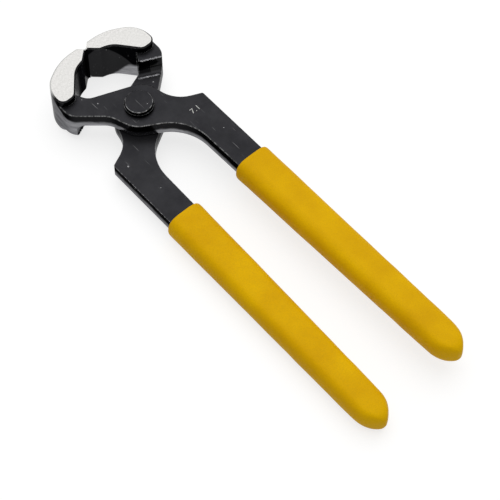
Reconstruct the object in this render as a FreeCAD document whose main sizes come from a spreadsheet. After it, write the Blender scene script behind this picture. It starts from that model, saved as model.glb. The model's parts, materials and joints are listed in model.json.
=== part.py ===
import FreeCAD, Part

# Mosaic glass nippers: two riveted steel levers with tall end-cutting jaws and dipped grips.
#
# Each lever is drawn about the pivot, with the joint's mid plane at z = 0, its jaw towards -X and its
# handle towards +X and -Y. The lower lever is the same forging turned over about the tool's long axis.
# The finished tool lies on its jaws with +Z up, +Y towards the jaws and its origin in the middle of
# its base. Lengths are in millimetres.

import math
import os

import Sketcher

# Driving dimensions: alias, size, what it measures. "across" is along X, "ahead" and "behind" along Y.
SIZES = (
    ("overall_length", 180.0, "jaw front to grip end"),
    ("jaw_height", 18.0, "jaw block, between its ground faces"),
    ("plate_face", 6.0, "joint mid plane to a lever's outer face"),
    ("plate_gap", 0.3, "clearance between the two levers"),
    ("edge_gap", 0.36, "clearance between the closed cutting edges"),
    ("edge_y", 30.3, "cutting edge, ahead"),
    ("jaw_front", 32.7, "jaw front, ahead"),
    ("jaw_side", 21.9, "jaw's outer wall, across"),
    ("brow_x", 10.4, "corner of the jaw's brow, across"),
    ("cheek_y", 26.1, "corner of the jaw's cheek, ahead"),
    ("lip_x", 3.9, "inner end of the cutting lip, across"),
    ("lip_y", 26.9, "inner end of the cutting lip, ahead"),
    ("hollow_x", 8.3, "corner of the jaw's hollow, across"),
    ("hollow_y", 25.7, "corner of the jaw's hollow, ahead"),
    ("heel_x", 15.9, "inner corner of the jaw's heel, across"),
    ("heel_y", 16.6, "inner corner of the jaw's heel, ahead"),
    ("heel_side_y", 16.5, "outer corner of the jaw's heel, ahead"),
    ("brow_round", 20.2, "rounding of the brow, in plan"),
    ("cheek_round", 10.4, "rounding of the cheek, in plan"),
    ("heel_round", 3.0, "rounding of the heel's outer corner, in plan"),
    ("heel_tip_round", 3.4, "rounding of the heel's inner corner, in plan"),
    ("hollow_round", 9.1, "rounding of the jaw's hollow, in plan"),
    ("lip_round", 0.8, "rounding of the lip's inner end, in plan"),
    ("jaw_bevel", 0.5, "chamfer round the ground faces"),
    ("shelf_x", 12.3, "a point of the jaw underside's edge, across"),
    ("shelf_y", 15.1, "the same point, ahead"),
    ("shelf_slope", 25.4, "slope of that edge in degrees"),
    ("shelf_ramp", 3.0, "radius of the ramp behind that edge"),
    ("boss_radius", 9.2, "round boss about the rivet"),
    ("throat_x", 12.0, "corner of the throat behind the jaw, across"),
    ("throat_y", 14.5, "corner of the throat, ahead"),
    ("throat_round", 5.0, "rounding of the throat"),
    ("shoulder_y", 12.8, "corner of the jaw's shoulder, ahead"),
    ("shoulder_round", 6.0, "rounding of the shoulder"),
    ("waist_x", 11.0, "corner between shoulder and boss, across"),
    ("waist_y", 3.3, "corner between shoulder and boss, ahead"),
    ("waist_round", 8.0, "rounding between shoulder and boss"),
    ("neck_x", 9.4, "inner corner of the neck, across"),
    ("neck_y", 16.2, "inner corner of the neck, behind"),
    ("neck_radius", 17.8, "hollow inner side of the neck"),
    ("notch_x", 11.1, "corner of the notch, across"),
    ("notch_y", 6.1, "corner of the notch, behind"),
    ("notch_radius", 12.1, "hollow outer side of the neck"),
    ("horn_x", 21.0, "point at the head of the handle, across"),
    ("horn_y", 10.6, "point at the head of the handle, behind"),
    ("horn_round", 0.8, "rounding of that point"),
    ("tang_inner_x", 12.0, "tang end's inner corner, across"),
    ("tang_outer_x", 21.5, "tang end's outer corner, across"),
    ("tang_end", 138.5, "tang end, behind"),
    ("tang_round", 4.0, "rounding of the tang's end"),
    ("edge_break", 0.5, "rounding of the lever's outline edges"),
    ("shank_radius", 3.5, "rivet shank"),
    ("running_fit", 0.05, "radial clearance of a turning fit"),
    ("head_radius", 5.05, "rivet's upper head"),
    ("head_height", 1.4, "rivet's upper head"),
    ("foot_radius", 5.5, "rivet's lower head"),
    ("foot_height", 2.4, "rivet's lower head"),
    ("head_round", 0.35, "rounding of the rivet heads"),
    ("washer_radius", 5.5, "washer under the upper head"),
    ("washer_height", 1.2, "washer under the upper head"),
    ("washer_gap", 0.1, "clearance between washer and upper lever"),
    ("grip_start", 42.4, "mouth of the grip, behind"),
    ("grip_mid_x", 15.4, "middle of the grip's mouth, across"),
    ("nose_mid_x", 17.0, "middle of the grip's nose, across"),
    ("grip_width", 14.9, "grip at its mouth"),
    ("nose_width", 12.6, "grip where its nose starts"),
    ("grip_height", 10.8, "grip across its thickness"),
    ("nose_angle", 45.0, "slope of the nose's sides from the grip's axis, in degrees"),
    ("nose_radius", 2.0, "rounded tip of the grip, in plan"),
    ("nose_shoulder", 10.0, "rounding where the nose starts, in plan"),
    ("grip_round", 4.6, "rounding along the grip"),
    ("mouth_round", 0.8, "rounding of the grip's mouth"),
)

# Directions from the pivot to the places where straight edges leave the boss, in degrees from +X.
BOSS_THROAT_SIDE = 69
BOSS_NOTCH_SIDE = 5
BOSS_WAIST_SIDE = 200
BOSS_NECK_SIDE = 240

# Reach of the cutting sketches past the lever, and of a solid that only has to overlap another.
FAR_X = 30
FAR_Y = 160
OVERLAP = 7.0

TOLERANCE = 1e-4


def make_sheet(doc):
    """Put every driving dimension into the spreadsheet, one per row, with its alias."""
    sheet = doc.addObject("Spreadsheet::Sheet", "Sizes")
    for row, (alias, size, note) in enumerate(SIZES, start=1):
        sheet.set(f"A{row}", alias)
        sheet.set(f"B{row}", str(size))
        sheet.setAlias(f"B{row}", alias)
        sheet.set(f"C{row}", note)
    doc.recompute()
    return sheet


def evaluate(item, expression):
    """Return the number that an expression gives now."""
    result = item.evalExpression(expression)
    return float(getattr(result, "Value", result))


# Sketches


def add_sketch(body, name, role, height="0"):
    """Add a sketch on one of the body's origin planes, raised by an expression."""
    sketch = body.newObject("Sketcher::SketchObject", name)
    plane = next(item for item in body.Origin.OriginFeatures if item.Role == role)
    sketch.AttachmentSupport = [(plane, "")]
    sketch.MapMode = "FlatFace"
    sketch.setExpression("AttachmentOffset.Base.z", height)
    return sketch


def bind(sketch, kind, where, expression):
    """Add a dimension of this kind and drive it by the expression."""
    constraint = Sketcher.Constraint(kind, *where, evaluate(sketch, expression))
    index = sketch.addConstraint(constraint)
    sketch.setExpression(f"Constraints[{index}]", expression)


def pin_point(sketch, geometry, corner):
    """Drive the place of a piece of geometry's first point by a corner's expressions."""
    bind(sketch, "DistanceX", (-1, 1, geometry, 1), corner[0])
    bind(sketch, "DistanceY", (-1, 1, geometry, 1), corner[1])


def unit(start, end):
    """Return the direction from one point to another."""
    return (end - start).normalize()


def round_corner(before, corner, after, radius):
    """Return the arc that rounds a corner, from its tangent point on the edge that comes in."""
    back = unit(corner, before)
    onward = unit(corner, after)
    half_angle = back.getAngle(onward) / 2
    reach = radius / math.tan(half_angle)
    nearest = radius / math.sin(half_angle) - radius
    inward = unit(FreeCAD.Vector(), back + onward)
    return corner + back * reach, corner + inward * nearest, corner + onward * reach


def draw_outline(sketch, corners):
    """Draw a closed outline whose corners are (x, y, radius) expressions; radius "0" stays sharp."""
    count = len(corners)
    points = [FreeCAD.Vector(evaluate(sketch, x), evaluate(sketch, y), 0) for x, y, _ in corners]
    rounds = []
    for i, corner in enumerate(corners):
        radius = evaluate(sketch, corner[2])
        after = points[(i + 1) % count]
        rounds.append(round_corner(points[i - 1], points[i], after, radius) if radius else [points[i]] * 3)
    lines = []
    for i in range(count):
        edge = Part.LineSegment(rounds[i][2], rounds[(i + 1) % count][0])
        lines.append(sketch.addGeometry(edge, False))
    for i, corner in enumerate(corners):
        if corner[2] == "0":
            sketch.addConstraint(Sketcher.Constraint("Coincident", lines[i], 1, lines[i - 1], 2))
            pin_point(sketch, lines[i], corner)
        else:
            draw_round(sketch, points[i], rounds[i], (lines[i - 1], lines[i]), corner)


def draw_round(sketch, point, places, lines, corner):
    """Join two edges by a tangent arc and drive its radius and its corner's place."""
    arc = sketch.addGeometry(Part.Arc(*places), False)
    starts_first = sketch.getPoint(arc, 1).distanceToPoint(places[0]) < TOLERANCE
    entry, leave = (1, 2) if starts_first else (2, 1)
    sketch.addConstraint(Sketcher.Constraint("Tangent", lines[0], 2, arc, entry))
    sketch.addConstraint(Sketcher.Constraint("Tangent", arc, leave, lines[1], 1))
    bind(sketch, "Radius", (arc,), corner[2])
    mark = sketch.addGeometry(Part.Point(point), True)
    for line in lines:
        sketch.addConstraint(Sketcher.Constraint("PointOnObject", mark, 1, line))
    pin_point(sketch, mark, corner)


def draw_circle(sketch, radius):
    """Draw a circle about the sketch's origin."""
    circle = sketch.addGeometry(Part.Circle(FreeCAD.Vector(), FreeCAD.Vector(0, 0, 1), 1), False)
    sketch.addConstraint(Sketcher.Constraint("Coincident", circle, 3, -1, 1))
    bind(sketch, "Radius", (circle,), radius)


# Features


def add_feature(body, kind, name, sketch, **lengths):
    """Add a feature made from a sketch and drive its lengths by expressions."""
    feature = body.newObject(f"PartDesign::{kind}", name)
    feature.Profile = sketch
    for length, expression in lengths.items():
        feature.setExpression(length, expression)
    body.Document.recompute()
    return feature


def cut(body, name, sketch, **lengths):
    """Add a pocket and make sure that it removed material."""
    before = body.Shape.Volume
    feature = add_feature(body, "Pocket", name, sketch, **lengths)
    if body.Shape.Volume >= before - TOLERANCE:
        raise RuntimeError(f"{body.Label}: {name} cuts nothing")
    return feature


def soften(body, kind, name, wanted, size):
    """Fillet or chamfer every edge of the body that the test wants."""
    shape = body.Shape
    names = [f"Edge{i}" for i, edge in enumerate(shape.Edges, start=1) if wanted(edge)]
    if not names:
        raise RuntimeError(f"{body.Label}: {name} finds no edge")
    base = body.Tip
    feature = body.newObject(f"PartDesign::{kind}", name)
    feature.Base = (base, names)
    feature.setExpression("Radius" if kind == "Fillet" else "Size", size)
    body.Document.recompute()
    return feature


def lies_flat(edge, height):
    """Tell whether an edge lies wholly in the plane z = height."""
    box = edge.BoundBox
    return abs(box.ZMin - height) < TOLERANCE and abs(box.ZMax - height) < TOLERANCE


# Levers


def boss_corner(first, second):
    """Return the corner whose rounding is the boss between two of its tangent places."""
    reach = f"Sizes.boss_radius / cos({(second - first) / 2} deg)"
    middle = (first + second) / 2
    return (f"{reach} * cos({middle} deg)", f"{reach} * sin({middle} deg)", "Sizes.boss_radius")


def handle_corners(neck_round, horn_round):
    """Return the handle's four corners, from the neck round its far end to the horn."""
    return (
        ("Sizes.neck_x", "-Sizes.neck_y", neck_round),
        ("Sizes.tang_inner_x", "-Sizes.tang_end", "Sizes.tang_round"),
        ("Sizes.tang_outer_x", "-Sizes.tang_end", "Sizes.tang_round"),
        ("Sizes.horn_x", "-Sizes.horn_y", horn_round),
    )


def plate_corners():
    """Return the lever's plan outline, anticlockwise from inside the jaw."""
    return (
        ("-Sizes.jaw_side", f"Sizes.shoulder_y + {OVERLAP}", "0"),
        ("-Sizes.jaw_side", "Sizes.shoulder_y", "Sizes.shoulder_round"),
        ("-Sizes.waist_x", "Sizes.waist_y", "Sizes.waist_round"),
        boss_corner(BOSS_WAIST_SIDE, BOSS_NECK_SIDE),
        *handle_corners("Sizes.neck_radius", "Sizes.horn_round"),
        ("Sizes.notch_x", "-Sizes.notch_y", "Sizes.notch_radius"),
        boss_corner(BOSS_NOTCH_SIDE, BOSS_THROAT_SIDE),
        ("-Sizes.throat_x", "Sizes.throat_y", "Sizes.throat_round"),
        (f"-Sizes.throat_x - {OVERLAP / 2}", f"Sizes.throat_y + {OVERLAP}", "0"),
    )


def jaw_corners():
    """Return the plan outline of the tall jaw, anticlockwise from its cutting edge."""
    edge_x = "-Sizes.edge_gap / 2"
    return (
        (edge_x, "Sizes.edge_y", "0"),
        (f"{edge_x} - (Sizes.jaw_front - Sizes.edge_y)", "Sizes.jaw_front", "0"),
        ("-Sizes.brow_x", "Sizes.jaw_front", "Sizes.brow_round"),
        ("-Sizes.jaw_side", "Sizes.cheek_y", "Sizes.cheek_round"),
        ("-Sizes.jaw_side", "Sizes.heel_side_y", "Sizes.heel_round"),
        ("-Sizes.heel_x", "Sizes.heel_y", "Sizes.heel_tip_round"),
        ("-Sizes.hollow_x", "Sizes.hollow_y", "Sizes.hollow_round"),
        ("-Sizes.lip_x", "Sizes.lip_y", "Sizes.lip_round"),
    )


def shelf_corners():
    """Return the outline of what is cut away below the lever, behind the jaw's underside."""
    slope = "tan(Sizes.shelf_slope * 1 deg)"
    low = f"Sizes.shelf_y - ({FAR_X} - Sizes.shelf_x) * {slope}"
    high = f"Sizes.shelf_y + ({FAR_X} + Sizes.shelf_x) * {slope}"
    return (
        (f"-{FAR_X}", low, "0"),
        (f"-{FAR_X}", f"-{FAR_Y}", "0"),
        (f"{FAR_X}", f"-{FAR_Y}", "0"),
        (f"{FAR_X}", high, "0"),
    )


def in_outer_wall(jaw, edge):
    """Tell whether an edge bounds a ground face along the jaw front or its outer side."""
    height = evaluate(jaw, "Sizes.jaw_height / 2")
    front = evaluate(jaw, "Sizes.jaw_front")
    side = evaluate(jaw, "Sizes.jaw_side")
    middle = edge.CenterOfMass
    on_face = lies_flat(edge, height) or lies_flat(edge, -height)
    return on_face and (middle.y > front - TOLERANCE or middle.x < TOLERANCE - side)


def on_shelf_line(shelf, edge):
    """Tell whether an edge lies on the inner face, along the line where the jaw's underside ends."""
    across = edge.CenterOfMass.x + evaluate(shelf, "Sizes.shelf_x")
    slope = evaluate(shelf, "tan(Sizes.shelf_slope * 1 deg)")
    ahead = evaluate(shelf, "Sizes.shelf_y") + across * slope
    inner_face = evaluate(shelf, "Sizes.plate_gap / 2")
    return lies_flat(edge, inner_face) and abs(edge.CenterOfMass.y - ahead) < TOLERANCE


def make_lever(doc, label, hole_radius):
    """Build one lever: plate and tang with a softened outline, jaw underside, tall jaw and rivet hole."""
    body = doc.addObject("PartDesign::Body", label)
    plate = add_sketch(body, f"{label}_plan", "XY_Plane", "-Sizes.plate_face")
    draw_outline(plate, plate_corners())
    add_feature(body, "Pad", f"{label}_plate", plate, Length="2 * Sizes.plate_face")
    outer_face = evaluate(plate, "Sizes.plate_face")
    soften(body, "Fillet", f"{label}_outline", lambda edge: lies_flat(edge, outer_face), "Sizes.edge_break")

    shelf = add_sketch(body, f"{label}_shelf_plan", "XY_Plane", "Sizes.plate_gap / 2")
    draw_outline(shelf, shelf_corners())
    cut(body, f"{label}_shelf", shelf, Length="2 * Sizes.plate_face")
    soften(body, "Fillet", f"{label}_ramp", lambda edge: on_shelf_line(shelf, edge), "Sizes.shelf_ramp")

    jaw = add_sketch(body, f"{label}_jaw_plan", "XY_Plane", "-Sizes.jaw_height / 2")
    draw_outline(jaw, jaw_corners())
    add_feature(body, "Pad", f"{label}_jaw", jaw, Length="Sizes.jaw_height")
    soften(body, "Chamfer", f"{label}_bevel", lambda edge: in_outer_wall(jaw, edge), "Sizes.jaw_bevel")

    hole = add_sketch(body, f"{label}_hole_plan", "XY_Plane", "Sizes.plate_face")
    draw_circle(hole, hole_radius)
    cut(body, f"{label}_hole", hole, Length="Sizes.plate_face")
    return body


# Grips


def grip_corners():
    """Return the grip's plan outline, from its mouth round the pointed nose."""
    cut_off = "Sizes.nose_radius * (1 / sin(Sizes.nose_angle * 1 deg) - 1)"
    past_tip = f"Sizes.jaw_front - Sizes.overall_length - {cut_off}"
    nose_start = f"{past_tip} + Sizes.nose_width / 2 / tan(Sizes.nose_angle * 1 deg)"
    return (
        ("Sizes.grip_mid_x - Sizes.grip_width / 2", "-Sizes.grip_start", "0"),
        ("Sizes.nose_mid_x - Sizes.nose_width / 2", nose_start, "Sizes.nose_shoulder"),
        ("Sizes.nose_mid_x", past_tip, "Sizes.nose_radius"),
        ("Sizes.nose_mid_x + Sizes.nose_width / 2", nose_start, "Sizes.nose_shoulder"),
        ("Sizes.grip_mid_x + Sizes.grip_width / 2", "-Sizes.grip_start", "0"),
    )


def make_grip(doc, label):
    """Build one dipped grip, hollow where the lever's tang goes in."""
    body = doc.addObject("PartDesign::Body", label)
    middle = "(Sizes.plate_face + Sizes.plate_gap / 2) / 2"
    plan = add_sketch(body, f"{label}_plan", "XY_Plane", f"{middle} - Sizes.grip_height / 2")
    draw_outline(plan, grip_corners())
    add_feature(body, "Pad", f"{label}_sleeve", plan, Length="Sizes.grip_height")
    mouth = -evaluate(plan, "Sizes.grip_start")
    soften(
        body, "Fillet", f"{label}_sides",
        lambda edge: edge.BoundBox.ZLength < TOLERANCE and edge.CenterOfMass.y < mouth - TOLERANCE,
        "Sizes.grip_round",
    )
    soften(
        body, "Fillet", f"{label}_mouth",
        lambda edge: edge.BoundBox.YMin > mouth - TOLERANCE,
        "Sizes.mouth_round",
    )
    tang = add_sketch(body, f"{label}_tang_plan", "XY_Plane", "Sizes.plate_face")
    draw_outline(tang, handle_corners("0", "0"))
    cut(body, f"{label}_tang", tang, Length="Sizes.plate_face - Sizes.plate_gap / 2")
    return body


# Rivet and washer


def turned_corners():
    """Return half of the rivet's lengthwise section, from the axis at its lower head upwards."""
    foot = "-Sizes.plate_face - Sizes.foot_height"
    head_base = "Sizes.plate_face + Sizes.washer_gap + Sizes.washer_height"
    return (
        ("0", foot, "0"),
        ("Sizes.foot_radius", foot, "Sizes.head_round"),
        ("Sizes.foot_radius", "-Sizes.plate_face", "0"),
        ("Sizes.shank_radius", "-Sizes.plate_face", "0"),
        ("Sizes.shank_radius", head_base, "0"),
        ("Sizes.head_radius", head_base, "0"),
        ("Sizes.head_radius", f"{head_base} + Sizes.head_height", "Sizes.head_round"),
        ("0", f"{head_base} + Sizes.head_height", "0"),
    )


def make_rivet(doc, label):
    """Turn the rivet, headed at both ends, about the pivot's axis."""
    body = doc.addObject("PartDesign::Body", label)
    section = add_sketch(body, f"{label}_section", "XZ_Plane")
    draw_outline(section, turned_corners())
    turned = body.newObject("PartDesign::Revolution", f"{label}_turned")
    turned.Profile = section
    turned.ReferenceAxis = (section, ["V_Axis"])
    doc.recompute()
    return body


def make_washer(doc, label):
    """Build the washer that sits between the rivet's upper head and the upper lever."""
    body = doc.addObject("PartDesign::Body", label)
    disc = add_sketch(body, f"{label}_plan", "XY_Plane", "Sizes.plate_face + Sizes.washer_gap")
    draw_circle(disc, "Sizes.washer_radius")
    draw_circle(disc, "Sizes.shank_radius")
    add_feature(body, "Pad", f"{label}_disc", disc, Length="Sizes.washer_height")
    return body


# Assembly


def place(body, turned_over):
    """Move a piece from the pivot's frame to the tool's own, turned over for the lower lever."""
    height = evaluate(body, "Sizes.jaw_height / 2")
    ahead = evaluate(body, "Sizes.overall_length / 2 - Sizes.jaw_front")
    turn = FreeCAD.Rotation(FreeCAD.Vector(0, 1, 0), 180 if turned_over else 0)
    body.Placement = FreeCAD.Placement(FreeCAD.Vector(0, ahead, height), turn)


def build_tool(doc):
    """Build and place every piece, and return the bodies by the name of their file."""
    pieces = (
        (make_lever(doc, "upper_lever", "Sizes.shank_radius + Sizes.running_fit"), False),
        (make_lever(doc, "lower_lever", "Sizes.shank_radius"), True),
        (make_rivet(doc, "pivot_rivet"), False),
        (make_washer(doc, "rivet_washer"), False),
        (make_grip(doc, "upper_grip"), False),
        (make_grip(doc, "lower_grip"), True),
    )
    for body, turned_over in pieces:
        place(body, turned_over)
    doc.recompute()
    return {body.Label: body for body, _ in pieces}


def check(doc, bodies):
    """Raise an error if anything in the document failed or a piece has no sound solid."""
    failed = [item.Name for item in doc.Objects if {"Invalid", "Error"} & set(item.State)]
    if failed:
        raise RuntimeError(f"failed objects: {failed}")
    for name, body in bodies.items():
        shape = body.Shape
        if shape.isNull() or not shape.isValid() or len(shape.Solids) != 1:
            raise RuntimeError(f"{name}: no single valid solid")


def main():
    """Build the nippers and write one STEP file per piece."""
    doc = FreeCAD.newDocument("glass_nippers")
    make_sheet(doc)
    bodies = build_tool(doc)
    check(doc, bodies)
    os.makedirs("parts", exist_ok=True)
    for name, body in bodies.items():
        body.Shape.exportStep(f"parts/{name}.step")
        box = body.Shape.BoundBox
        print(f"{name}: {body.Shape.Volume:.0f} mm3, x {box.XMin:.1f}..{box.XMax:.1f}, "
              f"y {box.YMin:.1f}..{box.YMax:.1f}, z {box.ZMin:.1f}..{box.ZMax:.1f}")


main()
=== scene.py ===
"""Looks of the mosaic glass nippers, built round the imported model.

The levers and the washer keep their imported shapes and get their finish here. The rivet and the two
dipped grips are modelled here in full, and so are the torn flash under each jaw, the honed lips of
the cutting edges and the size mark.
Places are in metres in the tool's own frame: +Y towards the jaws, +Z up along the pivot.
"""

import json
import logging
import math
import random
from dataclasses import dataclass, field
from enum import Enum
from functools import cached_property
from typing import Any

import bmesh
import bpy
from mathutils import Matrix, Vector


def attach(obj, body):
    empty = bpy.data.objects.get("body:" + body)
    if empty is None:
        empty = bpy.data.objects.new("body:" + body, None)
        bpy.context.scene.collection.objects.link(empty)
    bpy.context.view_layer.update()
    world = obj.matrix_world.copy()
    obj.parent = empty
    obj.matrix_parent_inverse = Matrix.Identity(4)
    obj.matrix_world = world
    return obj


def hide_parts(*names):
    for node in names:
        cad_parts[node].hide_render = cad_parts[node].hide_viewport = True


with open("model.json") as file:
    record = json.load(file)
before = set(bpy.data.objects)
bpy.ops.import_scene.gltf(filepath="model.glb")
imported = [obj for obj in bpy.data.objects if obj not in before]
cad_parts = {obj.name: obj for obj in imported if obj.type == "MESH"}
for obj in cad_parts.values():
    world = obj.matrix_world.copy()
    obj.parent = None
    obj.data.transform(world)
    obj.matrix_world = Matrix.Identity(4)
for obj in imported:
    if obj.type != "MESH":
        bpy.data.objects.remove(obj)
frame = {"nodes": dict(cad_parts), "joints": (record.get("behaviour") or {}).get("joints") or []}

LOG = logging.getLogger("nippers")
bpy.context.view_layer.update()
MM = 0.001
WHITE = (1.0, 1.0, 1.0, 1.0)
SPREAD = (0.35, 0.65)

Socket = bpy.types.NodeSocket
Tree = bpy.types.NodeTree
Node = bpy.types.Node
Object = bpy.types.Object
Material = bpy.types.Material
Triple = tuple[float, float, float]
Colour = tuple[float, float, float, float]
Layer = tuple[Socket, Socket, Socket]


class Side(Enum):
    """The two halves of the tool, by which lever lies on top at the pivot."""

    UPPER = "upper"
    LOWER = "lower"

    @property
    def body(self) -> str:
        """Return the name of the half's rigid body."""
        return f"{self.value}_half"

    def node(self, piece: str) -> str:
        """Return the name of this half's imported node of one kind.

        Args:
            piece: The kind, such as "grip".
        """
        return f"{self.value}_{piece}"


class Turn(Enum):
    """Which faces of a selection an operator works on."""

    UP = Vector((0, 0, 1))
    DOWN = Vector((0, 0, -1))
    AHEAD = Vector((0, 1, 0))
    ACROSS = Vector((1, 0, 0))


# Colours and nodes


def linear(code: str) -> Colour:
    """Turn an sRGB hex code into a linear colour.

    Args:
        code: The colour, such as "#38383a".

    Returns:
        Red, green, blue and an alpha of one.
    """
    parts = [int(code[i:i + 2], 16) / 255 for i in (1, 3, 5)]
    bent = [p / 12.92 if p <= 0.04045 else ((p + 0.055) / 1.055) ** 2.4 for p in parts]
    return bent[0], bent[1], bent[2], 1.0


@dataclass
class Graph:
    """A node tree built by short calls, most of which return what their node gives out."""

    tree: Tree

    @classmethod
    def of(cls, owner: Material | bpy.types.World) -> "Graph":
        """Give a material or a world an empty tree and return its graph.

        Args:
            owner: What the tree belongs to.
        """
        owner.use_nodes = True
        owner.node_tree.nodes.clear()
        return cls(owner.node_tree)

    @cached_property
    def place(self) -> Socket:
        """Object coordinates."""
        return self.node("TexCoord").outputs["Object"]

    @cached_property
    def normal(self) -> Socket:
        """The surface's direction."""
        return self.node("NewGeometry").outputs["Normal"]

    @cached_property
    def facing(self) -> Socket:
        """How squarely the surface faces up or down: zero on walls, one on flats."""
        return self.number("ABSOLUTE", self.axis("Z", self.normal))

    @cached_property
    def seen(self) -> Socket:
        """One for what the camera sees, straight, mirrored or through something clear."""
        rays = self.node("LightPath").outputs
        shown = self.number("MAXIMUM", rays["Is Camera Ray"], rays["Is Glossy Ray"])
        return self.number("MAXIMUM", shown, rays["Is Transmission Ray"])

    def node(self, kind: str, inputs: dict[Any, Any] | None = None, **settings: Any) -> Node:
        """Add a node.

        Args:
            kind: The node's type without its "ShaderNode" prefix.
            inputs: What each input holds, by name or number: another node's output, or a value.
            settings: The node's own options.

        Returns:
            The new node.
        """
        node = self.tree.nodes.new(f"ShaderNode{kind}")
        for name, value in settings.items():
            setattr(node, name, value)
        for key, value in (inputs or {}).items():
            if isinstance(value, Socket):
                self.tree.links.new(value, node.inputs[key])
            else:
                node.inputs[key].default_value = value
        return node

    def number(self, operation: str, *terms: Socket | float) -> Socket:
        """Work out a number.

        Args:
            operation: The maths node's operation.
            terms: What it works on, in order.
        """
        return self.node("Math", dict(enumerate(terms)), operation=operation).outputs["Value"]

    def vector(self, operation: str, *terms: Any) -> Node:
        """Add a vector maths node and return it.

        Args:
            operation: Its operation.
            terms: What it works on, in order.
        """
        return self.node("VectorMath", dict(enumerate(terms)), operation=operation)

    def axis(self, name: str, vector: Socket | None = None) -> Socket:
        """Return one part of a vector.

        Args:
            name: X, Y or Z.
            vector: The vector, or nothing for object coordinates.
        """
        return self.node("SeparateXYZ", {"Vector": vector or self.place}).outputs[name]

    def ramp(
        self, value: Socket, low: float, high: float, bottom: float = 0.0, top: float = 1.0,
        curve: str = "LINEAR",
    ) -> Socket:
        """Spread a range of values over another one, clamped at both ends.

        Args:
            value: The value.
            low: Where the range starts.
            high: Where it ends.
            bottom: What the start becomes.
            top: What the end becomes.
            curve: How the way between them is bent.
        """
        return self.node("MapRange", {
            "Value": value, "From Min": low, "From Max": high, "To Min": bottom, "To Max": top,
        }, interpolation_type=curve).outputs["Result"]

    def blend(self, share: Socket, first: Any, second: Any, kind: str = "RGBA") -> Socket:
        """Mix two colours or two numbers.

        Args:
            share: How much of the second is shown.
            first: The first.
            second: The second.
            kind: "RGBA" for colours, "FLOAT" for numbers.
        """
        return self.node(
            "Mix", {"Factor": share, "A": first, "B": second}, data_type=kind).outputs["Result"]

    def noise(
        self, size: float, detail: float = 2.0, roughness: float = 0.5, place: Socket | None = None,
    ) -> Socket:
        """Return cloudy noise about one half.

        Args:
            size: The size of its clouds in millimetres.
            detail: How many finer layers it has.
            roughness: How strong the finer layers are.
            place: Where it is read, or nothing for object coordinates.
        """
        return self.node("TexNoise", {
            "Vector": place or self.place, "Scale": 1 / (size * MM), "Detail": detail,
            "Roughness": roughness,
        }).outputs["Fac"]

    def laid(self, scale: Triple, turn: float = 0.0, shift: float = 0.0) -> Socket:
        """Return object coordinates that draw a noise out into lines.

        Args:
            scale: How each axis is stretched.
            turn: How far they are turned about Z, in radians.
            shift: How far they are moved across and ahead.
        """
        return self.node("Mapping", {
            "Vector": self.place, "Location": (shift, shift, 0.0), "Rotation": (0.0, 0.0, turn),
            "Scale": scale,
        }).outputs["Vector"]

    def bump(self, height: Socket, strength: float, depth: float) -> Socket:
        """Return the surface's direction as a relief bends it.

        Args:
            height: The relief's height, from zero to one.
            strength: How strongly it shows.
            depth: Its depth in millimetres.
        """
        return self.node("Bump", {
            "Height": height, "Strength": strength, "Distance": depth * MM,
        }).outputs["Normal"]

    def show(self, kind: str, inputs: dict[Any, Any], output: str = "OutputMaterial") -> None:
        """Add the last shader and connect it to the tree's output.

        Args:
            kind: The shader's type.
            inputs: What each of its inputs holds.
            output: The output's type.
        """
        self.node(output, {"Surface": self.node(kind, inputs).outputs[0]})


# Finishes


class Finish:
    """A named procedural finish."""

    name: str

    def make(self) -> Material:
        """Return the finish as a material."""
        material = bpy.data.materials.new(self.name)
        self.draw(Graph.of(material))
        return material

    def draw(self, graph: Graph) -> None:
        """Draw the finish.

        Args:
            graph: The material's empty graph.
        """
        raise NotImplementedError


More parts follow.
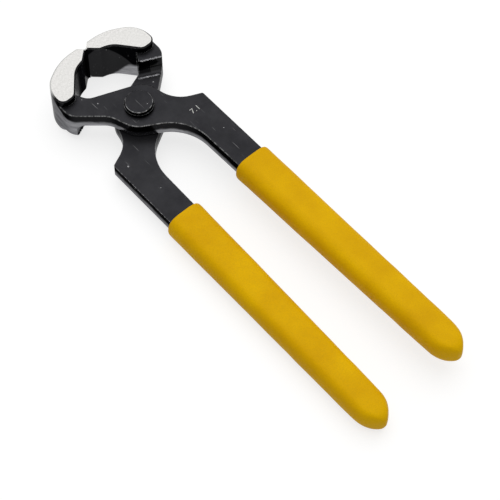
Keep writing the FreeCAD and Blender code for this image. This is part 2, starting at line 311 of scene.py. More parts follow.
@dataclass(frozen=True)
class BlackenedSteel(Finish):
    """Drop-forged carbon steel, blackened hot and oiled.

    The flats are tumbled to a dark satin grey, and the forged flanks are nearly black as painted
    shade. Handling rubs the skin through to grey metal in nicks and in hair scratches, and the pale
    lines along the edges are partly that wear and partly painted highlight. Heights and sizes are in
    millimetres.
    """

    name: str = "blackened_steel"
    flat: str = "#29292b"
    cloud: str = "#212123"
    # flanks: darker than the flats, as painted shade
    shaded_flank: str = "#242425"
    # pale colour of rubbed metal, also used for painted highlights along the edges
    rubbed_and_glint: str = "#a8a8a8"
    grazing: str = "#a4a4a4"
    cloud_mm: float = 11.0
    scale_mm: float = 1.6
    grain_mm: float = 0.35
    nick_mm: float = 3.4
    nick_radius: float = 0.055
    nick_wander_mm: float = 1.2
    nick_wander: float = 0.6
    nick_share: float = 0.8
    scratch_mm: float = 0.5
    scratch_share: float = 0.4
    edge_mm: float = 0.35
    rub_mm: float = 1.1
    unbroken: float = 0.12
    # strength of the wear marks and of the painted edge highlights
    wear: float = 0.55
    middle: float = 9.0
    # how far from the mid plane the rounded edges get painted highlight
    glint_from: float = 5.0
    roughness: float = 0.42
    flank_roughness: float = 0.22
    relief: float = 0.35
    relief_depth: float = 0.06

    def draw(self, graph: Graph) -> None:
        """Draw the oxide, the worn places and whatever the steel has over them.

        Args:
            graph: The material's empty graph.
        """
        level, grain = self.level(graph), self.grain(graph)
        colour = graph.blend(self.wear_and_glint(graph), self.skin(graph, level), linear(self.rubbed_and_glint))
        colour, rough, height = self.cover(
            graph, level, (colour, self.gloss(graph, grain, level), grain))
        graph.show("BsdfPrincipled", {
            "Base Color": colour, "Metallic": 1.0, "Specular Tint": linear(self.grazing),
            "Roughness": rough, "Normal": graph.bump(height, self.relief, self.relief_depth),
        })

    def cover(self, graph: Graph, level: Socket, under: Layer) -> Layer:
        """Return the steel's last layer, which is the oxide itself with its wear and painted
        highlights.

        Args:
            graph: The material's graph.
            level: One on the flats.
            under: The oxide's colour, roughness and relief.
        """
        return under

    def level(self, graph: Graph) -> Socket:
        """Return one on the flats and zero on the flanks, ramps and rounded edges.

        Args:
            graph: The material's graph.
        """
        return graph.ramp(graph.facing, 0.85, 0.98)

    def gloss(self, graph: Graph, grain: Socket, level: Socket) -> Socket:
        """Return the oxide's roughness: satin on the flats, glossier on the flanks.

        Args:
            graph: The material's graph.
            grain: The height of the grain.
            level: One on the flats.
        """
        satin = graph.ramp(grain, 0.3, 0.7, self.roughness - 0.07, self.roughness + 0.09)
        return graph.blend(level, self.flank_roughness, satin, "FLOAT")

    def skin(self, graph: Graph, level: Socket) -> Socket:
        """Return the oxide's colour: clouded on the flats, darker on the flanks as painted shade.

        Args:
            graph: The material's graph.
            level: One on the flats.
        """
        clouds = graph.noise(self.cloud_mm, detail=5.0, roughness=0.6)
        flat = graph.blend(graph.ramp(clouds, *SPREAD), linear(self.cloud), linear(self.flat))
        # the flanks take their darker colour by facing: painted shade
        return graph.blend(level, self.flank_shade_and_reflection(graph), flat)

    def flank_shade_and_reflection(self, graph: Graph) -> Socket | Colour:
        """Return the flanks' colour, darker than the flats as painted shade.

        Args:
            graph: The material's graph.
        """
        return linear(self.shaded_flank)

    def grain(self, graph: Graph) -> Socket:
        """Return the height of the forging scale and of the fine blasted grain on it.

        Args:
            graph: The material's graph.
        """
        scale = graph.noise(self.scale_mm, detail=3.0, roughness=0.55)
        return graph.number("MULTIPLY", graph.number("ADD", scale, graph.noise(self.grain_mm)), 0.5)

    def wear_and_glint(self, graph: Graph) -> Socket:
        """Return the pale marks: wear in nicks and scratches, wear and painted highlight on edges.

        Args:
            graph: The material's graph.

        Returns:
            Zero on whole skin, one on bare metal and on painted highlight.
        """
        softened = graph.node("Bevel", {"Radius": self.edge_mm * MM}, samples=6)
        bent = graph.vector("DOT_PRODUCT", softened.outputs["Normal"], graph.normal)
        # the pale lines along the edges are partly real wear, partly painted highlight
        edge = graph.ramp(bent.outputs["Value"], 0.985, 0.88)
        either = graph.number("MAXIMUM", edge, self.rounded_edge_glint(graph))
        patches = graph.noise(self.rub_mm, detail=4.0, roughness=0.7)
        broken = graph.ramp(patches, 0.44, 0.6, self.unbroken * self.wear, self.wear)
        rubbed_and_glint = graph.number("MULTIPLY", either, broken)
        return graph.number("MAXIMUM", rubbed_and_glint, self.marks(graph))

    def rounded_edge_glint(self, graph: Graph) -> Socket:
        """Return the painted highlight where the rounding along an outer face's edge slopes enough.

        Args:
            graph: The material's graph.
        """
        slope = graph.number(
            "MULTIPLY", graph.ramp(graph.facing, 0.3, 0.5), graph.ramp(graph.facing, 0.97, 0.85))
        outer = graph.number("GREATER_THAN", self.away(graph), self.glint_from * MM)
        return graph.number("MULTIPLY", slope, outer)

    def away(self, graph: Graph) -> Socket:
        """Return the distance from the joint's mid plane, up or down.

        Args:
            graph: The material's graph.
        """
        above = graph.number("SUBTRACT", graph.axis("Z"), self.middle * MM)
        return graph.number("ABSOLUTE", above)

    def marks(self, graph: Graph) -> Socket:
        """Return the nicks and hair scratches.

        Args:
            graph: The material's graph.

        Returns:
            Zero on whole skin, up to the wear on a mark.
        """
        wavy = graph.node("TexNoise", {
            "Vector": graph.place, "Scale": 1 / (self.nick_wander_mm * MM), "Detail": 2.0,
        })
        pushed = graph.vector(
            "MULTIPLY_ADD", wavy.outputs["Color"], (self.nick_wander * MM,) * 3, graph.place)
        cells = graph.node("TexVoronoi", {
            "Vector": pushed.outputs["Vector"], "Scale": 1 / (self.nick_mm * MM),
        })
        chance = graph.node("SeparateColor", {"Color": cells.outputs["Color"]}).outputs["Red"]
        radius = graph.ramp(chance, 0.55, 1.0, top=self.nick_radius * 1.6)
        inside = graph.number("LESS_THAN", cells.outputs["Distance"], radius)
        found = graph.number("MULTIPLY", inside, self.wear * self.nick_share)
        for turn, shift in ((0.5, 0.0), (1.9, 0.07)):
            lie = graph.laid((1.0, 0.05, 1.0), turn, shift)
            lines = graph.noise(self.scratch_mm, detail=1.0, place=lie)
            fine = graph.ramp(lines, 0.74, 0.8, top=self.wear * self.scratch_share)
            found = graph.number("MAXIMUM", found, fine)
        return found


@dataclass(frozen=True)
class JawSteel(BlackenedSteel):
    """Blackened steel whose top and bottom jaw faces are ground back to bright metal.

    The ground metal is pale and nearly matt, from a fine belt that leaves crossed hair lines. The
    flanks are nearly black as painted shade above a wandering line, and below it a streaked grey is
    a painted reflection of the floor. Inside the jaws that line climbs from the lip into the hollow,
    which is darker still as painted shade, and a paler band on the lip is a painted reflection.
    """

    name: str = "blackened_steel_ground_jaws"
    relief: float = 0.3
    relief_depth: float = 0.05
    bright: str = "#b3b2b0"
    dull: str = "#a3a2a0"
    # pale colour of the outer chamfers: painted reflection
    rim: str = "#c8c8c6"
    # painted reflection of the floor on the lower flanks, mixed with darker streaks
    floor_reflection: str = "#9a9a9d"
    reflection_streak: str = "#747477"
    reflection_streak_mm: float = 2.5
    reflection_streak_lie: Triple = (0.35, 0.35, 1.6)
    # paler band by the cutting lip: painted reflection
    lip: str = "#2b2b2c"
    lip_reflection_lean: float = 0.45
    lip_reflection_from: float = 16.4
    lip_reflection_to: float = 16.1
    # colour of the walls between the jaws: painted shade
    hollow: str = "#0f0f10"
    hollow_from: float = 9.0
    hollow_to: float = 12.5
    # height under which the flanks show the painted floor reflection
    reflection_line: float = 10.9
    reflection_line_mm: float = 4.0
    reflection_line_wander: float = 1.6
    fade_from: float = 1.8
    fade_to: float = 0.2
    mouth_reflection_line: float = 6.5
    climb_from: float = 73.8
    climb_to: float = 84.0
    cheek_from: float = 78.0
    cheek_to: float = 82.0
    over_top: float = 20.0
    mouth_middle: tuple[float, float] = (0.0, 77.3)
    mouth_radius: float = 17.2
    mouth_front: float = 87.65
    belt_mm: float = 0.3
    belt_matt: float = 0.52
    belt_smooth: float = 0.4
    ground_depth: float = 0.95
    ground_mm: float = 0.8
    ground_wander: float = 0.3
    ground_fade: float = 0.05

    def cover(self, graph: Graph, level: Socket, under: Layer) -> Layer:
        """Return the last layer: ground faces, painted reflection on outer chamfers, over oxide and
        wear.

        Args:
            graph: The material's graph.
            level: One on the flats.
            under: The oxide's colour, roughness and relief.
        """
        colour, rough, height = under
        ground, belt = self.ground(graph), self.belt(graph)
        face = graph.blend(belt, linear(self.dull), linear(self.bright))
        # outer chamfers ahead of the heel, outside the mouth: pale rim colour as painted reflection
        outside = graph.number("SUBTRACT", 1.0, self.mouth(graph)[0])
        shown = graph.number("MULTIPLY", self.cheek(graph), outside)
        chamfer = graph.blend(shown, linear(self.shaded_flank), linear(self.rim))
        brushed = graph.ramp(belt, 0.0, 1.0, self.belt_matt, self.belt_smooth)
        return (
            graph.blend(ground, colour, graph.blend(level, chamfer, face)),
            graph.blend(ground, rough, brushed, "FLOAT"),
            graph.blend(ground, height, belt, "FLOAT"),
        )

    def mouth(self, graph: Graph) -> tuple[Socket, Socket]:
        """Return where the walls between the jaws are, and the plan distance from their middle.

        Args:
            graph: The material's graph.
        """
        plan = graph.vector("MULTIPLY", graph.place, (1.0, 1.0, 0.0)).outputs["Vector"]
        middle = (self.mouth_middle[0] * MM, self.mouth_middle[1] * MM, 0.0)
        reach = graph.vector("DISTANCE", plan, middle).outputs["Value"]
        near = graph.number("LESS_THAN", reach, self.mouth_radius * MM)
        behind = graph.number("LESS_THAN", graph.axis("Y"), self.mouth_front * MM)
        return graph.number("MULTIPLY", near, behind), reach

    def cheek(self, graph: Graph) -> Socket:
        """Return one ahead of the heel, where the jaw's outer wall is, and zero behind it.

        Args:
            graph: The material's graph.
        """
        return graph.ramp(graph.axis("Y"), self.cheek_from * MM, self.cheek_to * MM)

    def flank_shade_and_reflection(self, graph: Graph) -> Socket:
        """Return the flanks' colour: painted shade above a line, painted floor reflection below it.

        Args:
            graph: The material's graph.
        """
        mouth, reach = self.mouth(graph)
        bands = graph.noise(
            self.reflection_streak_mm, detail=4.0, roughness=0.6, place=graph.laid(self.reflection_streak_lie))
        # grey painted reflection of the floor, in streaks, for the flanks under the line
        scale = graph.blend(graph.ramp(bands, *SPREAD), linear(self.reflection_streak), linear(self.floor_reflection))
        # the walls between the jaws take a darker colour as painted shade
        oxide = graph.blend(mouth, linear(self.shaded_flank), linear(self.hollow))
        # the paler band by the lip is a painted reflection
        inside = graph.blend(self.on_lip_reflection(graph, mouth, reach), oxide, linear(self.lip))
        return graph.blend(self.under_reflection_line(graph, mouth, reach), inside, scale)

    def under_reflection_line(self, graph: Graph, mouth: Socket, reach: Socket) -> Socket:
        """Return one under the wandering line of the painted floor reflection and zero over it.

        Args:
            graph: The material's graph.
            mouth: One on the walls between the jaws.
            reach: The plan distance from their middle.
        """
        # in the mouth the line of the painted floor reflection climbs into the hollow
        climb = graph.ramp(
            reach, self.hollow_from * MM, self.hollow_to * MM, top=self.mouth_reflection_line * MM,
            curve="SMOOTHSTEP")
        outer = graph.ramp(
            graph.axis("Y"), self.climb_from * MM, self.climb_to * MM,
            self.reflection_line * MM, self.over_top * MM)
        line = graph.blend(mouth, outer, climb, "FLOAT")
        wobble = graph.noise(self.reflection_line_mm, detail=3.0)
        ragged = graph.number("MULTIPLY_ADD", wobble, self.reflection_line_wander * MM, graph.axis("Z"))
        above = graph.number("SUBTRACT", ragged, line)
        return graph.ramp(above, self.fade_from * MM, self.fade_to * MM, curve="SMOOTHSTEP")

    def on_lip_reflection(self, graph: Graph, mouth: Socket, reach: Socket) -> Socket:
        """Return one on the paler band by the lip, a painted reflection whose edge leans inwards.

        Args:
            graph: The material's graph.
            mouth: One on the walls between the jaws.
            reach: The plan distance from their middle.
        """
        depth = graph.number("MULTIPLY_ADD", graph.axis("Z"), self.lip_reflection_lean, reach)
        flat = graph.ramp(depth, self.lip_reflection_from * MM, self.lip_reflection_to * MM)
        return graph.number("MULTIPLY", flat, mouth)

    def ground(self, graph: Graph) -> Socket:
        """Return where the jaw is ground bright: near its two faces, on what faces up or down.

        Args:
            graph: The material's graph.

        Returns:
            One on ground metal, zero on oxide.
        """
        ragged = graph.noise(self.ground_mm, detail=3.0)
        shifted = graph.number("MULTIPLY_ADD", ragged, self.ground_wander * MM, self.away(graph))
        edge = self.middle * MM - (self.ground_depth - self.ground_wander / 2) * MM
        fade = self.ground_fade * MM
        high = graph.ramp(shifted, edge - fade, edge + fade)
        return graph.number("MULTIPLY", high, graph.ramp(graph.facing, 0.45, 0.55))

    def belt(self, graph: Graph) -> Socket:
        """Return the crossed hair lines that the belt leaves, from zero to one.

        Args:
            graph: The material's graph.
        """
        first, second = (
            graph.noise(
                self.belt_mm, detail=3.0, roughness=0.6, place=graph.laid((1.0, 0.4, 1.0), turn))
            for turn in (0.35, 1.25))
        return graph.ramp(graph.number("ADD", first, second), 0.75, 1.25)


@dataclass(frozen=True)
class DippedVinyl(Finish):
    """Plastisol vinyl, dipped on and cured: satin yellow with a soft orange-peel skin.

    It has faint cloudy thickness changes, a little handling grime and a few scuffs.
    """

    name: str = "dipped_vinyl"
    yellow: str = "#eab700"
    deep: str = "#dea900"
    grime: str = "#a88412"
    cloud_mm: float = 16.0
    peel_mm: float = 1.1
    peel_depth: float = 0.08
    stipple_mm: float = 0.4
    scuff_mm: float = 0.9
    roughness: float = 0.46

    def draw(self, graph: Graph) -> None:
        """Draw the clouded vinyl, its grime and its peel.

        Args:
            graph: The material's empty graph.
        """
        clouds = graph.noise(self.cloud_mm, detail=4.0, roughness=0.55)
        base = graph.blend(graph.ramp(clouds, *SPREAD), linear(self.deep), linear(self.yellow))
        lie = graph.laid((1.0, 0.12, 1.0))
        scuffs = graph.noise(self.scuff_mm, detail=3.0, roughness=0.6, place=lie)
        speckle = graph.noise(self.stipple_mm, detail=4.0)
        dirt = graph.number(
            "MAXIMUM", graph.ramp(scuffs, 0.66, 0.82, top=0.3),
            graph.ramp(speckle, 0.4, 0.7, top=0.22))
        peel = graph.noise(self.peel_mm)
        relief = graph.number("ADD", peel, speckle)
        graph.show("BsdfPrincipled", {
            "Base Color": graph.blend(dirt, base, linear(self.grime)),
            "Roughness": graph.ramp(peel, 0.3, 0.7, self.roughness - 0.05, self.roughness + 0.07),
            "IOR": 1.53, "Specular IOR Level": 0.04,
            "Normal": graph.bump(relief, 0.3, self.peel_depth),
        })


@dataclass(frozen=True)
class LaserMark(Finish):
    """Laser-annealed steel: a pale grey frosted line, matt and a little uneven."""

    name: str = "laser_mark"
    pale: str = "#b4b4b0"
    faint: str = "#8a8a88"
    frost_mm: float = 0.5

    def draw(self, graph: Graph) -> None:
        """Draw the frosted metal.

        Args:
            graph: The material's empty graph.
        """
        frost = graph.ramp(graph.noise(self.frost_mm, detail=3.0), 0.35, 0.6)
        graph.show("BsdfPrincipled", {
            "Base Color": graph.blend(frost, linear(self.faint), linear(self.pale)),
            "Metallic": 0.6, "Roughness": 0.7,
        })


@dataclass(frozen=True)
class StudioPaper(Finish):
    """Seamless white paper, seen as white where nothing shades it."""

    name: str = "studio_paper"
    paper: str = "#dcdcdc"
    seen: str = "#9c9c9c"
    lift: float = 0.74

    def draw(self, graph: Graph) -> None:
        """Draw matt paper that looks lifted to white.

        Args:
            graph: The material's empty graph.
        """
        matt = graph.node("BsdfDiffuse", {"Color": linear(self.paper)}).outputs["BSDF"]
        pale = graph.node("BsdfDiffuse", {"Color": linear(self.seen)}).outputs["BSDF"]
        glow = graph.node("Emission", {"Color": WHITE, "Strength": self.lift}).outputs["Emission"]
        lit = graph.node("AddShader", {0: pale, 1: glow}).outputs["Shader"]
        graph.show("MixShader", {0: graph.seen, 1: matt, 2: lit})


# Modelling helpers


def deselect() -> None:
    """Leave nothing selected."""
    bpy.ops.object.select_all(action="DESELECT")


def only(item: Object) -> Object:
    """Select one object, make it active and return it.

    Args:
        item: The object.

    Returns:
        The same object.
    """
    deselect()
    item.select_set(True)
    bpy.context.view_layer.objects.active = item
    return item


def pick_faces(item: Object, along: Turn, reach: float = 0.9) -> None:
    """In edit mode, select only the faces that lie furthest along a direction.

    Args:
        item: The object in edit mode.
        along: The direction.
        reach: How closely a face's normal has to agree with it.
    """
    mesh = bmesh.from_edit_mesh(item.data)
    mesh.select_mode = {"FACE"}
    bpy.context.tool_settings.mesh_select_mode = (False, False, True)
    facing = [f for f in mesh.faces if f.normal.dot(along.value) > reach]
    furthest = max(f.calc_center_median().dot(along.value) for f in facing)
    for face in mesh.faces:
        face.select_set(False)
    for face in facing:
        if face.calc_center_median().dot(along.value) > furthest - 1e-6:
            face.select_set(True)
    bmesh.update_edit_mesh(item.data)


def settle(item: Object, name: str, finish: Material) -> Object:
    """Bake an object's place into its mesh, name it and give it one material.

    Args:
        item: The object.
        name: Its name.
        finish: Its material.

    Returns:
        The same object.
    """
    only(item)
    bpy.ops.object.transform_apply(location=True, rotation=True, scale=True)
    item.name = name
    item.data.name = name
    item.data.materials.clear()
    item.data.materials.append(finish)
    return item


def apply_modifiers(item: Object) -> None:
    """Apply every modifier of an object, in order.

    Args:
        item: The object.
    """
    only(item)
    for modifier in list(item.modifiers):
        bpy.ops.object.modifier_apply(modifier=modifier.name)


def ruffle(item: Object, name: str, size: float, strength: float) -> None:
    """Push an object's surface in and out by a cloudy texture, as its last modifier.

    Args:
        item: The object.
        name: The texture's name.
        size: The size of the clouds in millimetres.
        strength: How far they push, in millimetres.
    """
    texture = bpy.data.textures.new(name, "CLOUDS")
    texture.noise_scale = size * MM
    push = item.modifiers.new(name, "DISPLACE")
    push.texture = texture
    push.texture_coords = "LOCAL"
    push.strength = strength * MM


def turn_over(item: Object, name: str, centre: Vector) -> Object:
    """Copy an object and its mesh, turned half a turn about the tool's long axis.

    Args:
        item: The object to copy.
        name: The copy's name.
        centre: A point on the axis.

    Returns:
        The copy.
    """
    twin = item.copy()
    twin.data = item.data.copy()
    bpy.context.collection.objects.link(twin)
    only(twin)
    bpy.ops.transform.rotate(value=math.pi, orient_axis="Y", center_override=centre)
    return settle(twin, name, item.data.materials[0])


# Sub-assemblies


@dataclass
class Pivot:
    """The riveted joint: a peened rivet with its washer.

    Sizes are in millimetres, heights from the joint's mid plane.
    """

    centre: Vector
    finish: Material
    # darker finish of the washer under the head: painted shade
    shaded_washer_finish: Material
    shank_radius: float = 3.5
    head_radius: float = 5.05
    head_base: float = 7.3
    head_top: float = 8.7
    foot_radius: float = 5.5
    foot_base: float = -6.0
    foot_top: float = -8.4
    sides: int = 96
    seat: float = 0.1
    seat_height: float = 0.12
    roll: float = 0.38
    roll_steps: int = 5
    crown: float = 0.12
    crown_shares: tuple[float, ...] = (0.72, 0.5, 0.3, 0.12)
    peen_size: float = 1.6
    peen_depth: float = 0.08
    pieces: list[Object] = field(default_factory=list)

    def build(self) -> list[Object]:
        """Model the rivet, dress the washer and return the pieces."""
        rivet = self.turned_rivet()
        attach(rivet, Side.LOWER.body)
        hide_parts("pivot_rivet")
        washer = frame["nodes"]["rivet_washer"]
        washer.data.materials.clear()
        # the washer's darker colour is painted shade under the rivet head
        washer.data.materials.append(self.shaded_washer_finish)
        self.pieces = [rivet, washer]
        return self.pieces

    def turned_rivet(self) -> Object:
        """Return the rivet: shank, washered upper head with a peened crown, and flat lower head."""
        shank = (self.foot_base + self.head_base) / 2
        bpy.ops.mesh.primitive_cylinder_add(
            vertices=self.sides, radius=self.shank_radius * MM,
            depth=(self.head_base - self.foot_base) * MM,
            location=self.centre + Vector((0, 0, shank * MM)),
        )
        rivet = only(bpy.context.active_object)
        bpy.ops.object.mode_set(mode="EDIT")
        self.head(rivet, Turn.UP, self.head_radius, self.head_top - self.head_base)
        self.head(rivet, Turn.DOWN, self.foot_radius, self.foot_base - self.foot_top)
        bpy.ops.object.mode_set(mode="OBJECT")
        ruffle(rivet, "peening", self.peen_size, self.peen_depth)
        apply_modifiers(rivet)
        only(rivet)
        bpy.ops.object.shade_smooth_by_angle(angle=math.radians(40))
        return settle(rivet, "peened_rivet", self.finish)

    def head(self, rivet: Object, way: Turn, radius: float, height: float) -> None:
        """In edit mode, upset one end of the shank into a head with a rolled rim and a low crown.

        Args:
            rivet: The rivet in edit mode.
            way: The end.
            radius: The head's radius.
            height: The head's height.
        """
        pick_faces(rivet, way)
        bpy.ops.mesh.extrude_region_move()
        self.widen(rivet, radius - self.seat)
        self.rise(rivet, way, self.seat_height)
        self.widen(rivet, radius)
        self.rise(rivet, way, height - self.roll - self.crown - self.seat_height)
        angles = [math.radians(90 * step / self.roll_steps) for step in range(self.roll_steps + 1)]
        for before, angle in zip(angles, angles[1:]):
            self.rise(rivet, way, self.roll * (math.sin(angle) - math.sin(before)))
            self.widen(rivet, radius - self.roll * (1 - math.cos(angle)))
        for share in self.crown_shares:
            self.rise(rivet, way, self.crown / len(self.crown_shares))
            self.widen(rivet, radius * share)
        bpy.ops.mesh.select_all(action="DESELECT")

    def rise(self, rivet: Object, way: Turn, height: float) -> None:
        """Extrude the selected end face along the rivet.

        Args:
            rivet: Not used.
            way: The end.
            height: How far, in millimetres.
        """
        bpy.ops.mesh.extrude_region_move(TRANSFORM_OT_translate={"value": way.value * height * MM})

    def widen(self, rivet: Object, radius: float) -> None:
        """Scale the selected end face about the rivet's axis to a radius.

        Args:
            rivet: The rivet in edit mode.
            radius: The wanted radius in millimetres.
        """
        mesh = bmesh.from_edit_mesh(rivet.data)
        corner = next(v for v in mesh.verts if v.select)
        now = math.hypot(corner.co.x, corner.co.y)
        scale = radius * MM / now
        bpy.ops.transform.resize(value=(scale, scale, 1.0), center_override=self.centre)


@dataclass
class Grip:
    """One dipped grip: a tapered sleeve with a rolled mouth and a blunt nose.

    Stations run from the mouth to the nose tip. Each is the distance behind the pivot, the half
    width, the half height and the middle's distance across, all in millimetres.
    """

    centre: Vector
    finish: Material
    middle: float = 3.075
    corner: float = 3.9
    upper_back: float = 0.9
    mouth_from: float = 44.6
    rim: float = 0.8
    rim_depth: float = 0.25
    rim_inner: float = 0.5
    wave_size: float = 9.0
    wave_depth: float = 0.25
    stations: tuple[tuple[float, float, float, float], ...] = (
        (42.4, 6.96, 4.90, 15.41),
        (42.5, 7.31, 5.25, 15.41),
        (42.9, 7.54, 5.50, 15.42),
        (44.0, 7.58, 5.55, 15.43),
        (60.0, 7.40, 5.55, 15.68),
        (80.0, 7.14, 5.55, 15.99),
        (100.0, 6.88, 5.55, 16.30),
        (120.0, 6.62, 5.55, 16.60),
        (132.0, 6.46, 5.55, 16.78),
        (137.5, 6.40, 5.54, 16.87),
        (140.2, 6.24, 5.52, 16.90),
        (142.4, 5.62, 5.45, 16.93),
        (144.2, 4.60, 5.25, 16.96),
        (145.8, 3.20, 4.75, 16.99),
        (147.0, 1.90, 3.75, 17.0),
        (147.6, 1.00, 2.60, 17.0),
        (147.8, 0.40, 1.50, 17.0),
    )
    pieces: list[Object] = field(default_factory=list)

    def build(self) -> list[Object]:
        """Model the upper grip, turn a copy over for the lower one and return both."""
        upper = self.sleeve()
        lower = turn_over(upper, "dipped_grip_lower", self.centre)
        self.draw_back(upper)
        for side, grip in ((Side.UPPER, upper), (Side.LOWER, lower)):
            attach(grip, side.body)
            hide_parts(side.node("grip"))
        self.pieces = [upper, lower]
        return self.pieces

    def spot(self, station: tuple[float, float, float, float]) -> Vector:
        """Return the middle of a station in the tool's frame.

        Args:
            station: The station.
        """
        return self.centre + Vector((station[3], -station[0], self.middle)) * MM

    def draw_back(self, grip: Object) -> None:
        """Slide the upper grip's mouth back, because it was dipped a little less far.

        Args:
            grip: The upper grip.
        """
        only(grip)
        bpy.ops.object.mode_set(mode="EDIT")
        bpy.context.tool_settings.mesh_select_mode = (True, False, False)
        mesh = bmesh.from_edit_mesh(grip.data)
        mesh.select_mode = {"VERT"}
        for vert in mesh.verts:
            vert.select_set(vert.co.y > self.centre.y - self.mouth_from * MM)
        bmesh.update_edit_mesh(grip.data)
        bpy.ops.transform.translate(value=(0, -self.upper_back * MM, 0))
        bpy.ops.mesh.select_all(action="DESELECT")
        bpy.ops.object.mode_set(mode="OBJECT")

    def sleeve(self) -> Object:
        """Return the upper grip: a rounded section drawn back station by station, then smoothed."""
        first = self.stations[0]
        bpy.ops.mesh.primitive_plane_add(
            size=2 * MM, location=self.spot(first), rotation=(math.pi / 2, 0, 0))
        grip = only(bpy.context.active_object)
        bpy.ops.object.mode_set(mode="EDIT")
        bpy.ops.mesh.select_all(action="SELECT")
        bpy.ops.transform.resize(value=(first[1], 1.0, first[2]), center_override=self.spot(first))
        bpy.ops.mesh.bevel(offset=self.corner * MM, segments=3, affect="VERTICES")
        for before, station in zip(self.stations, self.stations[1:]):
            bpy.ops.mesh.extrude_region_move(
                TRANSFORM_OT_translate={"value": self.spot(station) - self.spot(before)})
            bpy.ops.transform.resize(
                value=(station[1] / before[1], 1.0, station[2] / before[2]),
                center_override=self.spot(station))
        bpy.ops.mesh.select_all(action="SELECT")
        bpy.ops.mesh.normals_make_consistent(inside=False)
        pick_faces(grip, Turn.AHEAD)
        bpy.ops.mesh.inset(thickness=self.rim * MM)
        bpy.ops.transform.translate(value=(0, -self.rim_depth * MM, 0))
        bpy.ops.mesh.inset(thickness=self.rim_inner * MM)
        bpy.ops.mesh.select_all(action="DESELECT")
        bpy.ops.object.mode_set(mode="OBJECT")
        smooth = grip.modifiers.new("smooth", "SUBSURF")
        smooth.levels = smooth.render_levels = 2
        ruffle(grip, "dip_waves", self.wave_size, self.wave_depth)
        apply_modifiers(grip)
        only(grip)
        bpy.ops.object.shade_smooth()
        return settle(grip, "dipped_grip_upper", self.finish)


@dataclass
class Lever:
    """One forged lever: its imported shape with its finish."""

    side: Side
    finish: Material
    pieces: list[Object] = field(default_factory=list)

    def build(self) -> list[Object]:
        """Dress the lever and return its pieces."""
        lever = frame["nodes"][self.side.node("lever")]
        lever.data.materials.clear()
        lever.data.materials.append(self.finish)
        self.pieces = [lever]
        return self.pieces


@dataclass
class TornEdge:
    """The ragged flash that the forging's trim left at the ledge's rim and at the ramp's foot.

    Lines run across the lever in plan, each from its inner end to its outer one, with its height.
    Sizes are in millimetres about the pivot, as on the lower lever.
    """

    centre: Vector
    finish: Material
    foot: tuple[Vector, Vector] = (Vector((9.8, 13.0, -0.2)), Vector((17.2, 9.4, -0.2)))
    ledge: tuple[Vector, Vector] = (Vector((12.7, 14.9, 5.88)), Vector((20.3, 11.3, 5.88)))
    foot_half_width: float = 0.62
    ledge_half_width: float = 0.42
    half_height: float = 0.16
    step: float = 0.24
    sides: int = 8
    end_size: float = 0.3
    sizes: tuple[float, float] = (0.65, 1.25)
    sway: tuple[float, float] = (-0.14, 0.14)
    heave: tuple[float, float] = (-0.05, 0.03)
    seed: int = 11
    pieces: list[Object] = field(default_factory=list)

    def build(self) -> list[Object]:
        """Model the lower lever's two lines, turn copies over for the upper one, return them."""
        chance = random.Random(self.seed)
        lines = (
            ("ramp_foot", self.foot, self.foot_half_width),
            ("ledge_rim", self.ledge, self.ledge_half_width),
        )
        for name, line, half_width in lines:
            lower = self.ridge(f"{name}_flash_lower", line, half_width, chance)
            upper = turn_over(lower, f"{name}_flash_upper", self.centre)
            for side, flash in ((Side.LOWER, lower), (Side.UPPER, upper)):
                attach(flash, side.body)
                self.pieces.append(flash)
        return self.pieces

    def ridge(
        self, name: str, line: tuple[Vector, Vector], half_width: float, chance: random.Random,
    ) -> Object:
        """Return a low ragged ridge drawn along a line, thin at both ends.

        Args:
            name: The ridge's name.
            line: Its ends, about the pivot.
            half_width: Its half width where it is neither thick nor thin.
            chance: Where the raggedness comes from.
        """
        start, along = self.centre + line[0] * MM, (line[1] - line[0]) * MM
        heading = math.atan2(along.y, along.x)
        sideways = Vector((-along.y, along.x, 0)).normalized()
        bpy.ops.mesh.primitive_circle_add(
            vertices=self.sides, radius=self.end_size * MM, fill_type="NGON", location=start,
            rotation=(math.pi / 2, 0, heading + math.pi / 2))
        ridge = only(bpy.context.active_object)
        ridge.scale = (half_width, self.half_height, 1.0)
        bpy.ops.object.transform_apply(location=True, rotation=True, scale=True)
        bpy.ops.object.mode_set(mode="EDIT")
        bpy.ops.mesh.select_all(action="SELECT")
        count = round(along.length / (self.step * MM))
        place, size = start, self.end_size
        for number in range(1, count + 1):
            wander = sideways * chance.uniform(*self.sway) * MM
            wander += Vector((0, 0, chance.uniform(*self.heave))) * MM
            target = start + along * number / count + wander
            wanted = self.end_size if number == count else chance.uniform(*self.sizes)
            bpy.ops.mesh.extrude_region_move(TRANSFORM_OT_translate={"value": target - place})
            bpy.ops.transform.resize(value=(wanted / size,) * 3, center_override=target)
            place, size = target, wanted
        bpy.ops.mesh.select_all(action="SELECT")
        bpy.ops.mesh.normals_make_consistent(inside=False)
        bpy.ops.object.mode_set(mode="OBJECT")
        bpy.ops.object.shade_smooth_by_angle(angle=math.radians(50))
        return settle(ridge, name, self.finish)


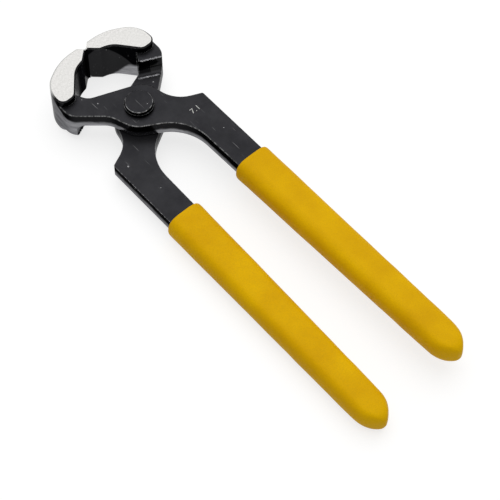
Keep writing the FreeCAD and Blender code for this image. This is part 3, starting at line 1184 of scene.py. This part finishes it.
@dataclass
class HonedEdge:
    """The honed lip along each cutting edge, which closes the jaws to a hair's breadth.

    Sizes are in millimetres about the pivot, for the upper lever's jaw.
    """

    centre: Vector
    finish: Material
    edge_y: float = 30.3
    tip: float = 0.02
    depth: float = 0.55
    half_width: float = 0.4
    narrowing: float = 0.3
    height: float = 17.9
    pieces: list[Object] = field(default_factory=list)

    def build(self) -> list[Object]:
        """Model the upper jaw's lip, turn a copy over for the lower one and return both."""
        upper = self.lip()
        lower = turn_over(upper, "honed_edge_lower", self.centre)
        for side, lip in ((Side.UPPER, upper), (Side.LOWER, lower)):
            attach(lip, side.body)
        self.pieces = [upper, lower]
        return self.pieces

    def lip(self) -> Object:
        """Return a block narrowed to a blunt edge across the jaws."""
        place = Vector((-self.tip - self.depth / 2, self.edge_y, 0))
        bpy.ops.mesh.primitive_cube_add(size=1.0, location=self.centre + place * MM)
        lip = only(bpy.context.active_object)
        lip.scale = (self.depth * MM, 2 * self.half_width * MM, self.height * MM)
        bpy.ops.object.transform_apply(location=True, rotation=True, scale=True)
        bpy.ops.object.mode_set(mode="EDIT")
        pick_faces(lip, Turn.ACROSS)
        middle = self.centre + Vector((0, self.edge_y, 0)) * MM
        bpy.ops.transform.resize(value=(1.0, self.narrowing, 1.0), center_override=middle)
        bpy.ops.mesh.select_all(action="SELECT")
        bpy.ops.mesh.subdivide(number_cuts=3)
        bpy.ops.mesh.select_all(action="DESELECT")
        bpy.ops.object.mode_set(mode="OBJECT")
        return settle(lip, "honed_edge_upper", self.finish)


@dataclass
class SizeMark:
    """The nominal length in inches, marked on the upper lever beside the horn.

    Sizes are in millimetres about the pivot.
    """

    centre: Vector
    finish: Material
    text: str = "7.1"
    letter_height: float = 2.1
    capital_share: float = 0.69
    spacing: float = 1.1
    thickness: float = 0.01
    start: tuple[float, float] = (12.0, -15.5)
    face: float = 6.0
    pieces: list[Object] = field(default_factory=list)

    def build(self) -> list[Object]:
        """Model the mark as thin figures lying on the lever and return it."""
        height = self.face + self.thickness / 2
        bpy.ops.object.text_add(location=self.centre + Vector((*self.start, height)) * MM)
        mark = only(bpy.context.active_object)
        mark.data.body = self.text
        mark.data.size = self.letter_height * MM / self.capital_share
        mark.data.extrude = self.thickness * MM
        mark.data.space_character = self.spacing
        bpy.ops.object.convert(target="MESH")
        settle(mark, "size_mark", self.finish)
        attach(mark, Side.UPPER.body)
        self.pieces = [mark]
        return self.pieces


# Studio


@dataclass
class Studio:
    """White paper, one broad soft lamp overhead and the camera."""

    paper: StudioPaper = StudioPaper()
    eye: Vector = field(default_factory=lambda: Vector((-0.246194, -0.283062, 0.618094)))
    look: Vector = field(default_factory=lambda: Vector((0.336856, 0.383319, -0.859997)))
    lens: float = 146.95
    sensor: float = 36.0
    floor_size: float = 8.0
    floor_drop: float = 0.00005
    lamp_place: Vector = field(default_factory=lambda: Vector((0.35, 0.3, 1.2)))
    lamp_size: float = 1.7
    lamp_level: float = 1.45
    sky_level: float = 0.42

    def build(self) -> None:
        """Set up the paper, the lights and the camera."""
        self.floor()
        self.lamp()
        self.sky()
        self.camera()
        bpy.context.scene.view_settings.view_transform = "Standard"

    def floor(self) -> None:
        """Lay the paper just under the tool."""
        bpy.ops.mesh.primitive_plane_add(size=self.floor_size, location=(0, 0, -self.floor_drop))
        floor = settle(bpy.context.active_object, "studio_floor", self.paper.make())

    def lamp(self) -> None:
        """Hang the soft lamp."""
        data = bpy.data.lights.new("soft_lamp", "AREA")
        data.shape = "SQUARE"
        data.size = self.lamp_size
        data.energy = self.lamp_level * math.pi * self.lamp_size ** 2
        lamp = bpy.data.objects.new("soft_lamp", data)
        lamp.location = self.lamp_place
        lamp.rotation_euler = (-self.lamp_place).to_track_quat("-Z", "Y").to_euler()
        lamp.visible_camera = False
        bpy.context.scene.collection.objects.link(lamp)

    def sky(self) -> None:
        """Fill the room with even light, seen as white."""
        world = bpy.data.worlds.new("studio_room")
        graph = Graph.of(world)
        level = graph.ramp(graph.seen, 0.0, 1.0, bottom=self.sky_level)
        graph.show("Background", {"Color": WHITE, "Strength": level}, "OutputWorld")
        bpy.context.scene.world = world

    def camera(self) -> None:
        """Place the camera."""
        data = bpy.data.cameras.new("camera")
        data.lens = self.lens
        data.sensor_width = self.sensor
        camera = bpy.data.objects.new("camera", data)
        camera.location = self.eye
        camera.rotation_euler = self.look.to_track_quat("-Z", "Y").to_euler()
        bpy.context.scene.collection.objects.link(camera)
        bpy.context.scene.camera = camera


def main() -> None:
    """Build the sub-assemblies in order, then the studio, and report each piece."""
    logging.basicConfig(level=logging.INFO, format="%(name)s: %(message)s")
    deselect()
    centre = Vector(frame["joints"][0]["pos_m"])
    upper_steel = JawSteel(name="ground_jaw_steel_upper").make()
    # the lower lever's painted floor reflection reaches less high
    lower_steel = JawSteel(name="ground_jaw_steel_lower", reflection_line=5.6).make()
    # the rivet's higher wear also brightens the painted highlight along its rim
    rivet_steel = BlackenedSteel(name="blackened_rivet_steel", nick_mm=2.0, wear=0.75).make()
    # the washer sits under the rivet head and is coloured darker as painted shade
    shaded_washer_steel = BlackenedSteel(
        name="shaded_washer", flat="#19191a", cloud="#131314", wear=0.3).make()
    # the honed lips' flanks are nearly black, as painted shade
    honed_steel = BlackenedSteel(
        name="honed_edge_steel", flat="#a3a3a1", cloud="#949492", shaded_flank="#0e0e0f",
        grazing="#2a2a2b", flank_roughness=0.7, edge_mm=0.02, wear=0.0).make()
    # the torn flash's flanks are darker than its top, as painted shade
    torn_steel = BlackenedSteel(
        name="torn_flash", flat="#77777a", cloud="#2e2e30", shaded_flank="#58585a", cloud_mm=0.9,
        wear=0.7).make()
    assemblies = (
        Lever(Side.LOWER, lower_steel),
        Lever(Side.UPPER, upper_steel),
        TornEdge(centre, torn_steel),
        HonedEdge(centre, honed_steel),
        Pivot(centre, rivet_steel, shaded_washer_steel),
        Grip(centre, DippedVinyl().make()),
        SizeMark(centre, LaserMark().make()),
    )
    for assembly in assemblies:
        for piece in assembly.build():
            LOG.info("%s: %s", type(assembly).__name__, piece.name)
    Studio().build()


if __name__ == "__main__":
    main()
